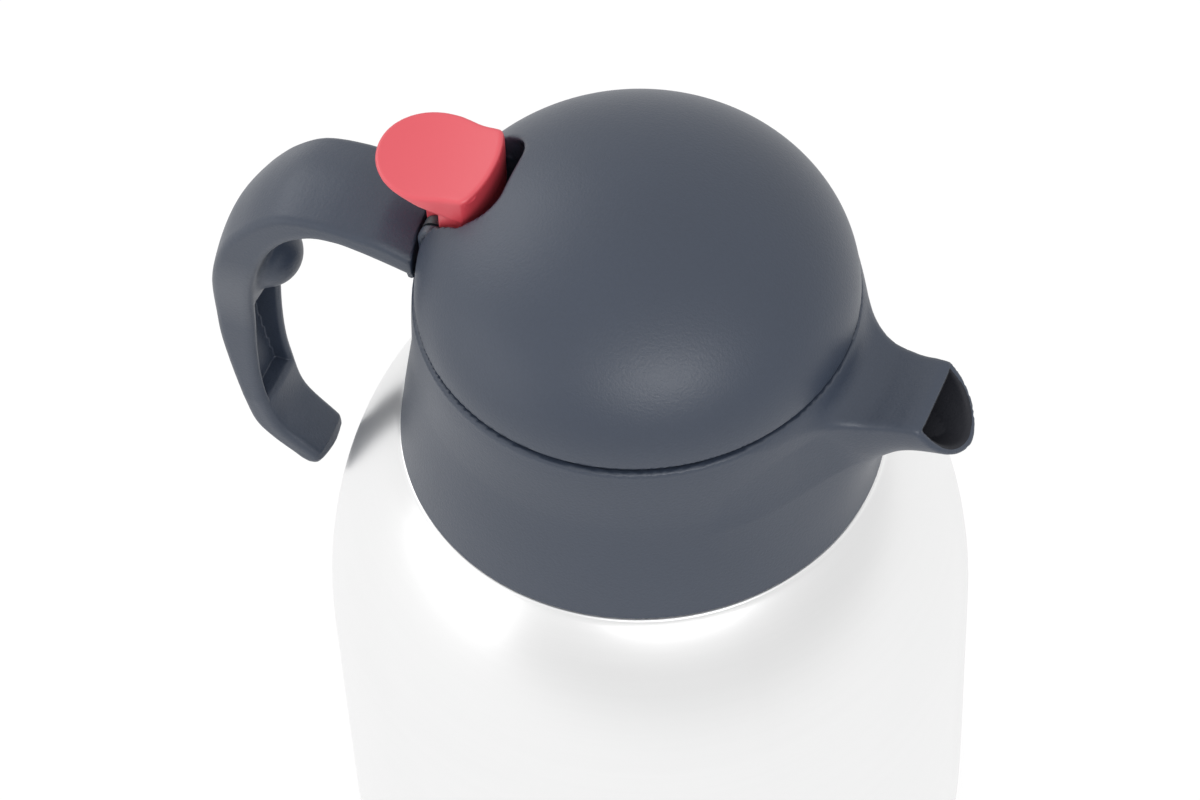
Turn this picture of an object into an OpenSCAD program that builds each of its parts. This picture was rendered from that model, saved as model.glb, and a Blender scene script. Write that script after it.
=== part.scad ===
// Thermal carafe with a flip lid that a thumb lever lifts.
// Z is up, the origin is the centre of the foot, and the spout points along +X.

/* [Body] */
// Largest radius of the steel jacket
body_r = 72.15; // [69:0.05:80]
// Height of the lid seam above the table
seam_z = 198; // [190:1:230]
// Height of the shoulder's curve
shoulder_h = 71.6; // [70.5:0.1:72]
// Thickness of the steel jacket
jacket_wall = 0.8; // [0.6:0.1:1.2]
// Radius of the rubber foot disc
foot_r = 60; // [50:1:62]
// Thickness of the rubber foot disc
foot_t = 2; // [1.6:0.1:3]

/* [Glass flask] */
// Wall of each glass layer
glass_wall = 1.8; // [1.4:0.1:2.2]
// Width of the vacuum gap between the two glass layers
vacuum_gap = 4; // [3:0.5:5]
// Air gap between the glass and the jacket
jacket_gap = 4.4; // [3.5:0.1:6]
// Outer radius of the glass neck
flask_neck_r = 31; // [30.5:0.1:32]
// Thickness of the cushion under the flask
cushion_t = 5; // [4:0.5:7]

/* [Collar] */
// Outer radius of the collar at its rim
rim_r = 47.6; // [47.4:0.1:48.4]
// Wall of the collar
collar_wall = 2.3; // [2:0.1:2.6]
// Outer radius of the collar at its lower edge
skirt_r = 52.9; // [52.4:0.1:53.6]
// Radius of the throat that the drink pours through
throat_r = 24.5; // [24:0.1:25]
// Depth of the deck round the throat, below the seam
deck_drop = 16; // [15:0.5:17]
// Thickness of the deck
deck_t = 3; // [2.4:0.1:3.4]
// Height of the sloping seat between the deck and the throat
seat_h = 10; // [9:0.5:10.5]

/* [Spout] */
// Distance from the axis to the top edge of the mouth
mouth_x = 67.4; // [65:0.1:74]
// Half width of the mouth
mouth_half = 10.7; // [9:0.1:12]
// Depth of the mouth along its slanted face
mouth_depth = 15.4; // [13:0.1:17]
// Drop of the spout's flat top between the rim and the mouth
spout_fall = 5.2; // [4:0.1:7]
// Wall of the spout
spout_wall = 1.9; // [1.5:0.1:2.3]

/* [Handle] */
// Half width of the handle's arm
arm_half = 12.5; // [11.8:0.1:12.5]
// Half width of the grip
grip_half = 8.2; // [7.5:0.1:9.5]
// Side wall of the grip's channel
grip_wall = 2.4; // [2:0.1:3]
// Wall behind the grip's channel
grip_back = 3; // [2:0.1:4]
// Radius of the ball that stops the finger in the bend
ball_r = 8; // [7:0.1:8.5]

/* [Lid] */
// Outer radius of the dome
lid_r = 47; // [46.6:0.1:47.2]
// Height of the dome
dome_h = 33.2; // [32.5:0.1:35]
// Wall of the dome
dome_wall = 2.2; // [1.8:0.1:2.4]
// Open gap between the dome and the collar's rim
seam_gap = 0.8; // [0.7:0.1:1]
// Half width of the lever's notch
notch_half = 12.3; // [12.2:0.1:12.9]
// Half width of the notch where it leaves the dome's edge
notch_rear = 9.6; // [9.5:0.1:9.9]
// Distance from the axis to the inner end of the notch
notch_x = 27.5; // [26:0.1:27.6]
// Radius of the notch's inner corners
notch_corner = 4.5; // [3.5:0.1:5]
// Radius of the screws that hold the dome
screw_r = 1.6; // [1.2:0.1:1.8]

/* [Hinge and lever] */
// Distance from the axis to the hinge pin
hinge_x = 43; // [42.8:0.1:43.2]
// Height of the hinge pin above the seam
hinge_up = 7; // [6.8:0.1:7.3]
// Radius of the hinge pin
pin_r = 1.5; // [1.2:0.1:1.7]
// Radial running clearance on the pin
pin_play = 0.05; // [0.03:0.01:0.08]
// Radius of the knuckles round the pin
knuckle_r = 3.4; // [3:0.1:3.5]
// Half width of the lever's hub
hub_half = 3.5; // [3.3:0.1:3.6]
// Radius of the paddle's round outer end
paddle_r = 12; // [11.4:0.1:12.1]
// Distance from the axis to the centre of the paddle's round end
paddle_x = 45.4; // [44.5:0.1:46]
// Distance from the axis to the paddle's front face
paddle_front = 31.3; // [31:0.1:32]
// Height of the foot of the paddle's front face above the seam
paddle_low = 18.4; // [18.2:0.1:19]
// Height of the paddle's front edge above the seam
paddle_high = 26.5; // [25.5:0.1:26.7]
// Height of the thumb hollow's lowest line above the seam
hollow_low = 24; // [23.8:0.1:24.6]
// Radius of the thumb hollow
hollow_r = 58; // [52:0.5:64]

/* [Stopper] */
// Radius of the stopper above its cone
stopper_r = 27.2; // [26.6:0.1:27.3]
// Depth of the stopper's foot below the seam
stopper_drop = 24; // [22:0.5:24.5]
// Wall of the stopper
stopper_wall = 2; // [1.6:0.1:2.4]

/* [Hidden] */
$fn = 96;
fine = 160;

// Colours as the photograph shows them
anthracite = [0.30, 0.33, 0.37];
anthracite_dark = [0.18, 0.20, 0.23];
signal_red = [0.90, 0.16, 0.20];
steel = [0.80, 0.81, 0.82];
silicone = [0.86, 0.87, 0.86];
glass = [0.75, 0.85, 0.86];
foam = [0.92, 0.91, 0.88];

fit = 0.05;            // clearance between still pieces that are pressed or screwed together
side_play = 0.3;       // clearance between turning pieces side by side
rim_in = rim_r - collar_wall;
collar_h = 45.3;       // the collar's height below the seam
seat_in = seat_h / 2;  // how far the sloping seat runs inward over its height

// A smooth line through chosen points: n steps for each span
function spline_point(a, b, c, d, t) =
    0.5 * ((2 * b) + (c - a) * t + (2 * a - 5 * b + 4 * c - d) * t * t
    + (3 * b - a - 3 * c + d) * t * t * t);
function smooth(p, n = 5) = concat(
    [for (i = [0 : len(p) - 2], k = [0 : n - 1])
        spline_point(p[max(i - 1, 0)], p[i], p[i + 1], p[min(i + 2, len(p) - 1)], k / n)],
    [p[len(p) - 1]]);
// The same line moved sideways by t, to the left of its direction
function side(p, i) = let (a = p[max(i - 1, 0)], b = p[min(i + 1, len(p) - 1)],
    d = (b - a) / norm(b - a)) [-d[1], d[0]];
function inset(p, t) = [for (i = [0 : len(p) - 1]) p[i] + t * side(p, i)];
function back(p) = [for (i = [len(p) - 1 : -1 : 0]) p[i]];
// Part of an ellipse round a centre, from one angle to another
function arc(c, rx, rz, from, to, n = 18) =
    [for (k = [0 : n]) let (a = from + (to - from) * k / n) c + [rx * cos(a), rz * sin(a)]];

module revolve(points) {
    rotate_extrude($fn = fine) polygon(points);
}

// A flat plate across the Y direction, drawn in the XZ plane
module across(half) {
    rotate([90, 0, 0]) linear_extrude(height = 2 * half, center = true) children();
}

// The same plate on both sides, between two distances from the middle
module both_sides(near, far) {
    for (s = [-1, 1]) translate([0, s * (near + far) / 2, 0]) across((far - near) / 2) children();
}

module on_pin() {
    translate([-hinge_x, hinge_up]) children();
}

module pin_bore(r, half) {
    across(half) on_pin() circle(r = r, $fn = 48);
}

module at_seam() {
    translate([0, 0, seam_z]) children();
}

// Body

shoulder_in = body_r - 35;           // how far the shoulder's curve would run inward
ledge_round = 0.45;                  // how far the shoulder stands out past the collar's edge
ledge_drop = 0.8;                    // height of the rounding between shoulder and ledge
ledge_z = seam_z - collar_h - fit;   // height of the flat ledge that carries the collar
shoulder_end = acos((skirt_r + ledge_round - 35) / shoulder_in);
shoulder_z = ledge_z - ledge_drop + fit - shoulder_h * sin(shoulder_end);
sleeve_r = skirt_r - 7.1;            // outer radius of the collar's inner sleeve
sleeve_wall = 2.4;
sleeve_drop = collar_h + 3.2;        // depth of the sleeve's lower edge below the seam
jacket_line = concat(
    smooth([[body_r - 3.6, foot_t + 0.9], [body_r - 1.6, foot_t + 2.6], [body_r - 0.6, foot_t + 6.5],
        [body_r - 0.1, foot_t + 16], [body_r, foot_t + 34]], 4),
    arc([body_r - shoulder_in, shoulder_z], shoulder_in, shoulder_h, 0, shoulder_end, 24),
    [[skirt_r + 0.25, ledge_z - 0.3], [skirt_r - 0.15, ledge_z], [sleeve_r + 0.6, ledge_z]]);

module outer_jacket() {
    color(steel) revolve(concat(jacket_line, back(inset(jacket_line, jacket_wall))));
}

cup_t = 2;          // thickness of the base cup
cup_wall_h = 8;     // height of its upright wall
cup_top = foot_t + cup_t;
module base_cup() {
    r = body_r - 3.6 - jacket_wall - 0.3;
    lip = body_r - 2.8;
    color(anthracite_dark) revolve([[0, foot_t + fit], [foot_r + 0.3, foot_t + fit],
        [foot_r + 0.3, 0.8], [lip - 1.2, 0.8], [lip, 1.8], [lip, foot_t + 0.6], [r, foot_t + 0.6],
        [r, foot_t + cup_wall_h], [r - cup_t, foot_t + cup_wall_h], [r - cup_t, cup_top],
        [0, cup_top]]);
}

module base_pad() {
    color(anthracite_dark) cylinder(r = foot_r, h = foot_t, $fn = fine);
}

// Glass flask

glass_r = body_r - jacket_wall - jacket_gap;
glass_low = cup_top + cushion_t;
bend_r = 40;                         // how far the bottom's curve runs inward
bend_h = 31;                         // and how high it rises
lip_drop = deck_drop + seat_h + 6;   // depth of the glass lip below the seam
lip_z = seam_z - lip_drop;
glass_top_z = lip_z - 20;            // height at which the neck leaves the shoulder
// Half section of a glass face that lies t inside the outer one, up to its neck
function glass_line(t, neck) = concat(
    [[0, glass_low + t]],
    arc([glass_r - bend_r, glass_low + bend_h], bend_r - t, bend_h - t, -90, 0),
    arc([flask_neck_r, shoulder_z], glass_r - flask_neck_r - t, glass_top_z - shoulder_z - t, 0, 90),
    [[neck, glass_top_z - t], [neck, lip_z]]);
neck_gap = 1.8;                      // width of the vacuum gap in the neck
neck_bore = flask_neck_r - 2 * glass_wall - neck_gap;

module flask_outer_glass() {
    color(glass) revolve(concat(glass_line(0, flask_neck_r),
        back(glass_line(glass_wall, flask_neck_r - glass_wall))));
}

module flask_inner_glass() {
    t = glass_wall + vacuum_gap;
    r = neck_bore + glass_wall;
    color(glass) difference() {
        union() {
            revolve(glass_line(t, r));
            // lip that closes the vacuum gap
            translate([0, 0, lip_z - 2]) cylinder(r = flask_neck_r - glass_wall - 0.01, h = 2, $fn = fine);
        }
        revolve(concat(glass_line(t + glass_wall, neck_bore), [[neck_bore, lip_z + 1], [0, lip_z + 1]]));
    }
}

spacer_z = glass_low + bend_h + 10;
module glass_spacers() {
    color(foam) for (a = [0, 120, 240]) rotate([0, 0, a])
        translate([glass_r - glass_wall - vacuum_gap + 0.1, 0, spacer_z]) rotate([0, 90, 0])
            cylinder(r = 4, h = vacuum_gap - 0.35, $fn = 48);
}

module flask_cushion() {
    color(anthracite_dark) translate([0, 0, cup_top + fit])
        cylinder(r = glass_r - bend_r - 1, h = cushion_t - 2 * fit, $fn = fine);
}

seal_t = 2.6;
module neck_seal() {
    color(silicone) revolve([[neck_bore, lip_z + fit], [flask_neck_r + 1.4, lip_z + fit],
        [flask_neck_r + 1.4, lip_z + seal_t], [neck_bore, lip_z + seal_t]]);
}

ring_top = -collar_h - jacket_wall - 3 * fit;   // the clamp ring's top, just below the jacket's ledge
module clamp_ring() {
    color(anthracite_dark) at_seam() revolve([[sleeve_r + fit, -sleeve_drop + 0.5],
        [sleeve_r + 3.7, -sleeve_drop + 0.5], [sleeve_r + 3.7, ring_top], [sleeve_r + fit, ring_top]]);
}

// Collar and spout

// Outline of the collar's outside, from the rim down to its lower edge
collar_line = smooth([[rim_r, -0.6], [rim_r + 0.4, -5.3], [rim_r + 0.9, -14.7],
    [rim_r + 1.6, -21], [(rim_r + skirt_r) / 2 + 1, -34], [skirt_r, -collar_h]], 4);

// Stations along the spout: place of the top, place of the bottom, half width at the top
lip_ahead = 8.7;                     // how far the lower lip stands ahead of the top edge
lip_down = sqrt(mouth_depth * mouth_depth - lip_ahead * lip_ahead);
fall_x = 38;                         // where the flat top starts to fall
function top_z(x) = -spout_fall * (x - fall_x) / (mouth_x - fall_x);
lip_x = mouth_x + lip_ahead;
lip_low = -spout_fall - lip_down;
stations = [
    [[rim_r - 9.6, 0], [rim_r - 3, -40], mouth_half + 17.3],
    [[rim_r - 5.6, top_z(rim_r - 5.6)], [rim_r + 2.6, -36.5], mouth_half + 11.8],
    [[rim_r - 3.6, top_z(rim_r - 3.6)], [rim_r + 4, -33.4], mouth_half + 9],
    [[rim_r - 1.6, top_z(rim_r - 1.6)], [rim_r + 5.4, -31], mouth_half + 6.8],
    [[rim_r + 1.4, top_z(rim_r + 1.4)], [rim_r + 8, -27.2], mouth_half + 4.1],
    [[rim_r + 4.4, top_z(rim_r + 4.4)], [rim_r + 12, -23.5], mouth_half + 2.3],
    [[rim_r + 8.4, top_z(rim_r + 8.4)], [lip_x - 12, lip_low - 2.8], mouth_half + 1.1],
    [[mouth_x - 6, top_z(mouth_x - 6)], [lip_x - 6, lip_low - 1.2], mouth_half + 0.3],
    [[mouth_x, -spout_fall], [lip_x, lip_low], mouth_half]];

// U outline at one station: across the flat top and round the bottom
arch_steps = 10;
function fall(k) = sin(90 * k / arch_steps);
function arch(k) = pow(max(0, 1 - pow(fall(k), 3)), 0.75);
function u_ring(top, low, half) = concat(
    [for (k = [0 : arch_steps]) let (c = top + (low - top) * fall(k)) [c[0], half * arch(k), c[1]]],
    [for (k = [arch_steps - 1 : -1 : 0]) let (c = top + (low - top) * fall(k))
        [c[0], -half * arch(k), c[1]]]);

// A closed body through a list of rings with as many points each
module loft(rings) {
    m = len(rings[0]);
    n = len(rings) - 1;
    walls = [for (i = [0 : n - 1], j = [0 : m - 1], half = [0, 1])
        let (a = i * m + j, b = i * m + (j + 1) % m)
        half == 0 ? [a, b, b + m] : [a, b + m, a + m]];
    ends = [for (j = [1 : m - 2], half = [0, 1])
        half == 0 ? [0, j + 1, j] : [n * m, n * m + j, n * m + j + 1]];
    polyhedron(points = [for (r = rings) each r], faces = concat(walls, ends));
}

module spout_outside() {
    loft([for (s = stations) u_ring(s[0], s[1], s[2])]);
}

// The channel inside the spout, with its floor level with the deck
module spout_inside() {
    w = spout_wall;
    floor_z = -deck_drop - 0.4;
    mouth_dir = [lip_ahead, -lip_down] / mouth_depth;
    top = [mouth_x, -spout_fall] + w * mouth_dir;
    low = [lip_x, lip_low] - 1.05 * w * mouth_dir;
    half = mouth_half - w + 0.4;
    out = [mouth_dir[1], -mouth_dir[0]] * -1;
    loft([
        u_ring([rim_in - 9, -w - 1.6], [rim_in - 6, floor_z], half + 6),
        u_ring([rim_in - 2, -w - 1.6], [rim_in + 2, floor_z], half + 4.6),
        u_ring([rim_r + 4.4, top_z(rim_r + 4.4) - w], [rim_r + 11, floor_z - 1.4], half + 1.8),
        u_ring([rim_r + 9.4, top_z(rim_r + 9.4) - w], [rim_r + 17.4, floor_z - 1.2], half + 0.8),
        u_ring(top, low, half),
        u_ring(top + 4 * out, low + 4 * out, half)]);
}

// Place that the handle's root takes in the collar's rear wall
root_drop = 3.4;
module handle_gap(grow) {
    translate([-rim_r - 6, -arm_half - grow, -root_drop - grow])
        cube([14, 2 * (arm_half + grow), root_drop + grow + 12]);
}

module collar() {
    inner = inset(collar_line, -collar_wall);
    low = -deck_drop - deck_t;
    seat_low = -deck_drop - seat_h;
    foot_z = -lip_drop + seal_t + fit;
    color(anthracite) at_seam() {
        difference() {
            revolve(concat([[rim_in, 0], [rim_r - 0.6, 0]], collar_line,
                [[skirt_r - collar_wall, -collar_h]],
                back([for (p = inner) if (p[1] < low - 2 && p[1] > -collar_h + 4) p]),
                [[sleeve_r + 0.5, low], [sleeve_r, low - 2], [sleeve_r, -sleeve_drop],
                [sleeve_r - sleeve_wall, -sleeve_drop], [sleeve_r - sleeve_wall, low],
                [throat_r + seat_in + 3.2, low], [flask_neck_r + 1.4, foot_z + 2],
                [flask_neck_r + 1.4, foot_z], [throat_r, foot_z], [throat_r, seat_low],
                [throat_r + seat_in, -deck_drop], [rim_in, -deck_drop]]));
            intersection() {
                spout_inside();
                translate([rim_in - 8, -30, -deck_drop]) cube([40, 60, 40]);
            }
            handle_gap(0.2);
            for (y = [-screw_y, screw_y]) handle_screw_shank(y, 0.02);
        }
        difference() {
            spout_outside();
            spout_inside();
            revolve(concat([[0, 2], [rim_r - 0.6, 2]], [for (p = collar_line) p - [0.9, 0]],
                [[0, -collar_h]]));
        }
    }
}

// Handle

// Top of the arm and back of the grip, from the collar to the tongue
root_x = -rim_r + 3.6;
handle_outer = smooth([[root_x, 5], [-53, 7.6], [-58.5, 8.1], [-68.5, 8], [-77.8, 5.9],
    [-85, 0.6], [-90.6, -6], [-94.6, -13], [-97.9, -24], [-100.1, -37.5], [-100.5, -50.5],
    [-99.2, -62], [-97, -74.5], [-95.2, -84.4]], 4);
// Underside of the arm and front of the grip, down to the tongue
handle_inner = smooth([[root_x, -3.7], [-52.9, -1.6], [-59.6, -0.4], [-64.8, -0.1], [-70.6, -1.4],
    [-77, -6], [-82.4, -14], [-86, -25], [-88.6, -38], [-90, -52], [-90.2, -66], [-88.7, -76]], 4);
// Rounded end of the tongue below the grip
tongue_end = [[-92, -89], [-82, -96.4], [-79, -96], [-77.4, -93.4], [-78.4, -91], [-82.8, -88.2]];

// The handle's width seen from behind: wide arm, slim grip, round tongue
module handle_width() {
    translate([0, -3]) square([2 * arm_half, 30], center = true);
    polygon(concat(
        [for (k = [0 : 8]) let (t = k / 8) [-arm_half + (arm_half - grip_half) * (1 - cos(180 * t)) / 2, -18 - 30 * t]],
        [[-grip_half + 1, -88], [-grip_half + 3, -97], [grip_half - 3, -97], [grip_half - 1, -88]],
        [for (k = [8 : -1 : 0]) let (t = k / 8) [arm_half - (arm_half - grip_half) * (1 - cos(180 * t)) / 2, -18 - 30 * t]]));
}

module grip_channel() {
    across(grip_half - grip_wall) intersection() {
        polygon(concat([for (p = inset(handle_outer, grip_back)) if (p[1] < -38) p],
            [[-80, -77], [-80, -38]]));
        translate([-110, -76]) square([40, 39]);
    }
}

screw_y = 5;        // distance of the handle's screws from the middle
screw_z = -8.5;     // their height from the seam
block_low = -12;    // lower face of the handle's inner block
block_high = -5;    // its upper face between the ears
block_x = -hinge_x + knuckle_r;   // its inner face
module handle_screw_shank(y, grow) {
    translate([-rim_in - 1.4 - grow, y, screw_z]) rotate([0, 90, 0])
        cylinder(r = screw_r + grow, h = rim_in + 1.4 + block_x + 2 * grow, $fn = 32);
}

finger_t = 2.2;                   // width of each of the lid's two hinge fingers
ear_in = hub_half + finger_t + 2 * side_play;
ear_out = notch_rear - 0.7;
root_r = rim_r + 0.3;             // radius of the hollow in which the arm meets the dome
module handle() {
    color(anthracite) at_seam() difference() {
        union() {
            difference() {
                intersection() {
                    across(arm_half) polygon(concat(handle_outer, tongue_end, back(handle_inner)));
                    translate([-75, 0, 0]) rotate([90, 0, 90])
                        linear_extrude(height = 80, center = true) handle_width();
                }
                translate([0, 0, -20]) cylinder(r = root_r, h = 40, $fn = fine);
            }
            // foot of the arm in the collar's rear wall
            translate([-root_r - 0.3, -arm_half, -root_drop]) cube([root_r + 0.3 - 46.4, 2 * arm_half, root_drop - 0.3]);
            translate([-88.6, 0, -27]) sphere(r = ball_r, $fn = 64);
            // block inside the collar, with an ear at each end for the hinge pin
            intersection() {
                union() {
                    translate([-rim_r - 1, -ear_out, block_low])
                        cube([rim_r + 1 + block_x, 2 * ear_out, block_high - block_low]);
                    both_sides(ear_in, ear_out) {
                        translate([-rim_r - 1, block_low]) square([rim_r + 1 + block_x, hinge_up - block_low]);
                        on_pin() circle(r = knuckle_r, $fn = 64);
                    }
                }
                union() {
                    translate([0, 0, -20]) cylinder(r = rim_in - 0.15, h = 40, $fn = fine);
                    handle_gap(0);
                }
            }
        }
        grip_channel();
        pin_bore(pin_r + 0.01, 30);
        for (y = [-screw_y, screw_y]) handle_screw_shank(y, 0.02);
    }
}

module handle_screws() {
    color(steel) at_seam() for (y = [-screw_y, screw_y]) {
        handle_screw_shank(y, 0);
        translate([block_x + 0.02, y, screw_z]) rotate([0, 90, 0]) cylinder(r = 2.9, h = 1.8, $fn = 48);
        translate([block_x - 1, y, screw_z]) rotate([0, 90, 0]) cylinder(r = screw_r, h = 2, $fn = 32);
    }
}

module hinge_pin() {
    color(steel) at_seam() pin_bore(pin_r, ear_out - 0.2);
}

// Return spring: a coil round the pin and two straight legs, as one unbroken wire
wire_r = 0.35;
coil_r = 2.75;
coil_turns = 2.5;
coil_half = 1.4;
coil_steps = 16;
leg_down = 9.4;
leg_up = 4.6;
wire_sides = 6;
coil_n = coil_turns * coil_steps;
function coil_ring(k) = let (a = 180 - 360 * k / coil_steps, u = [cos(a), 0, sin(a)],
    c = [-hinge_x, coil_half - 2 * coil_half * k / coil_n, hinge_up] + coil_r * u)
    [for (j = [0 : wire_sides - 1]) let (b = 360 * j / wire_sides)
        c + wire_r * (cos(b) * u + sin(b) * [0, 1, 0])];
function shifted(ring, dz) = [for (p = ring) p + [0, 0, dz]];

module lever_spring() {
    color(steel) at_seam() loft(concat([shifted(coil_ring(0), -leg_down)],
        [for (k = [0 : coil_n]) coil_ring(k)], [shifted(coil_ring(coil_n), leg_up)]));
}

// Thumb lever

toe_gap = 0.3;       // gap between the lever's toe and the lid's liner at rest
toe_half = hub_half - 0.2;
toe_tip = stopper_r + 1.2;
front_r = 25;        // radius of the paddle's front face as seen from above
body_half = notch_rear - 0.6;     // half width of the lever's body in the notch
body_low = 12;       // height of its underside
slot_half = 2.1;     // half width of the slot for the spring
module paddle_outline() {
    translate([-paddle_x, 0]) circle(r = paddle_r, $fn = 96);
    intersection() {
        translate([-paddle_x, -paddle_r + 1.2]) square([paddle_x - paddle_front, 2 * paddle_r - 2.4]);
        translate([-paddle_front - front_r, 0]) circle(r = front_r, $fn = fine);
    }
}

// Underside of the paddle, from its front face to its thin outer end
paddle_under = smooth([[-paddle_front + 0.8, paddle_low], [-paddle_front - 6.7, paddle_low + 1.1],
    [-hinge_x, paddle_low + 2.9], [-hinge_x - 5.6, hollow_low - 1.2],
    [-paddle_x - paddle_r - 1, hollow_low - 0.8]], 3);

module thumb_lever() {
    body = [[-hinge_x - 4.2, body_low], [-hinge_x - 4.2, hollow_low - 1], [-hinge_x, hollow_low - 0.4],
        [-paddle_front - 0.5, paddle_low + 2], [-paddle_front - 0.5, body_low + 1.5], [-hinge_x + 5, body_low]];
    post = [[-hinge_x - 3.6, body_low + 1], [-hinge_x + 5, body_low + 1],
        [-hinge_x + knuckle_r, hinge_up], [-hinge_x - knuckle_r, hinge_up]];
    toe = [[-hinge_x - 1, hinge_up - knuckle_r], [-hinge_x + knuckle_r, hinge_up],
        [-hinge_x + 7, -toe_gap], [-toe_tip, -toe_gap], [-toe_tip, -toe_gap - 2.2],
        [-hinge_x + 6, -toe_gap - 3.3], [-hinge_x + 2.4, -toe_gap - 0.7]];
    color(signal_red) at_seam() difference() {
        union() {
            intersection() {
                translate([0, 0, paddle_low - 1]) linear_extrude(height = 12) paddle_outline();
                across(30) difference() {
                    polygon(concat(paddle_under, [[-paddle_x - paddle_r - 1, paddle_high],
                        [-paddle_front + 0.8, paddle_high]]));
                    translate([-paddle_x - 3.1, hollow_low + hollow_r]) circle(r = hollow_r, $fn = 360);
                }
            }
            across(body_half) polygon(body);
            across(hub_half) polygon(post);
            across(toe_half) polygon(toe);
            pin_bore(knuckle_r, hub_half);
        }
        pin_bore(pin_r + pin_play, 30);
        // slot for the spring
        across(slot_half) on_pin() translate([-6, -4]) square([12, body_low - hinge_up + 4]);
    }
}

// Lid

module dome_shape(wall) {
    r = lid_r - wall;
    revolve(concat([[0, seam_gap]], arc([0, seam_gap], r, dome_h - wall, 0, 90, 26)));
}

// Opening for the lever as seen from above, grown by g
function notch_side(g) = concat(
    arc([-notch_x - notch_corner, notch_half - notch_corner], notch_corner + g, notch_corner + g, 0, 90, 12),
    [for (k = [0 : 8]) let (t = k / 8)
        [-notch_x - 11 - 3 * t, notch_half + g - (notch_half - notch_rear) * (1 - cos(180 * t)) / 2]],
    [[-lid_r - 12, notch_rear + g]]);
module notch_outline(g) {
    polygon(concat(notch_side(g), back([for (p = notch_side(g)) [p[0], -p[1]]])));
}

// The well that the lid clears as it turns round the lever
well_r = 24;
well_wall = 1.6;
module well(grow) {
    intersection() {
        translate([0, 0, -6]) linear_extrude(height = 60) {
            notch_outline(grow);
            translate([-notch_x - 11, -notch_half - grow]) square([30, 2 * (notch_half + grow)]);
        }
        across(30) {
            on_pin() circle(r = well_r + grow, $fn = fine);
            translate([-lid_r - 10, -6]) square([lid_r + 10 - hinge_x, 60]);
        }
    }
}

screw_ring = 35.5;
screw_turns = [0, 104, 256];
plate_t = 2;
post_r = 3.8;
module lid_dome() {
    floor_z = plate_t + 0.1;
    color(anthracite) at_seam() difference() {
        union() {
            difference() {
                dome_shape(0);
                translate([0, 0, -0.01]) dome_shape(dome_wall);
            }
            intersection() {
                dome_shape(0.5);
                translate([0, 0, floor_z]) union() {
                    well_up(well_wall);
                    for (a = screw_turns) rotate([0, 0, a]) translate([screw_ring, 0, 0])
                        cylinder(r = post_r, h = 30, $fn = 48);
                }
            }
        }
        well(0);
        translate([0, 0, 16]) linear_extrude(height = 30) notch_outline(0);
        for (a = screw_turns) rotate([0, 0, a]) translate([screw_ring, 0, 0])
            cylinder(r = screw_r + 0.02, h = plate_t + 6.1, $fn = 32);
    }
}

// The well's outside above the plate, counted from the plate's top
module well_up(grow) {
    translate([0, 0, -plate_t - 0.1]) intersection() {
        well(grow);
        translate([-60, -40, plate_t + 0.1]) cube([60, 80, 50]);
    }
}

liner_r = lid_r - dome_wall - 0.4;
module lid_liner() {
    finger_in = hub_half + side_play;
    finger_out = ear_in - side_play;
    color(anthracite_dark) at_seam() difference() {
        union() {
            difference() {
                cylinder(r = liner_r, h = plate_t, $fn = fine);
                translate([-60, -notch_rear, -1]) cube([60 - 36, 2 * notch_rear, 9]);
            }
            both_sides(finger_in, finger_out) {
                polygon([[-32, 0], [-32, plate_t], [-hinge_x + 1.5, hinge_up + knuckle_r - 0.35],
                    [-hinge_x, hinge_up], [-hinge_x, hinge_up - knuckle_r], [-38, 0]]);
                on_pin() circle(r = knuckle_r, $fn = 64);
            }
        }
        translate([-60, -finger_in, -1]) cube([60 - 34, 2 * finger_in, 3 + plate_t]);
        pin_bore(pin_r + pin_play, 30);
        for (a = screw_turns) rotate([0, 0, a]) translate([screw_ring, 0, -1])
            cylinder(r = screw_r + 0.1, h = 9, $fn = 32);
    }
}

module lid_screws() {
    color(steel) at_seam() for (a = screw_turns) rotate([0, 0, a]) translate([screw_ring, 0, 0]) {
        translate([0, 0, -0.5]) cylinder(r = screw_r, h = plate_t + 6.5, $fn = 32);
        difference() {
            translate([0, 0, -1.7]) cylinder(r = 3, h = 1.68, $fn = 48);
            for (q = [0, 90]) rotate([0, 0, q]) translate([-1.9, -0.35, -2]) cube([3.8, 0.7, 1.1]);
        }
    }
}

// Radius of the seat's slope and of the stopper's cone at a depth below the seam
cone_low = stopper_r - (stopper_drop - deck_drop) / 2;
function seat_at(z) = throat_r + (z + deck_drop + seat_h) / 2;
function cone_at(z) = cone_low + (z + stopper_drop) / 2;

module stopper_cone() {
    w = stopper_wall;
    color(anthracite_dark) at_seam() revolve([[0, -stopper_drop], [cone_low, -stopper_drop],
        [stopper_r, -deck_drop], [stopper_r, -fit], [stopper_r - w, -fit],
        [stopper_r - w, -deck_drop + 0.5], [cone_low - w + 1, -stopper_drop + w], [0, -stopper_drop + w]]);
}

module stopper_foam() {
    w = stopper_wall + 0.3;
    color(foam) at_seam() revolve([[0, -stopper_drop + w], [cone_low - w + 1, -stopper_drop + w],
        [stopper_r - w, -deck_drop + 0.8], [stopper_r - w, -0.3], [0, -0.3]]);
}

module stopper_gasket() {
    low = -stopper_drop + 1;
    high = -deck_drop - 2;
    color(silicone) at_seam() revolve([[cone_at(low) + 0.02, low], [seat_at(low) - 0.25, low + 0.2],
        [seat_at(high) - 0.5, high - 0.4], [cone_at(high) + 0.02, high]]);
}

outer_jacket();
base_cup();
base_pad();
flask_outer_glass();
flask_inner_glass();
glass_spacers();
flask_cushion();
neck_seal();
clamp_ring();
collar();
handle();
handle_screws();
hinge_pin();
lever_spring();
thumb_lever();
lid_dome();
lid_liner();
lid_screws();
stopper_cone();
stopper_foam();
stopper_gasket();
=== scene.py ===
"""Thermal carafe with a domed lid that a red thumb lever lifts."""

import math

import bmesh
import bpy
import numpy as np
from mathutils import Matrix, Vector


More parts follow.
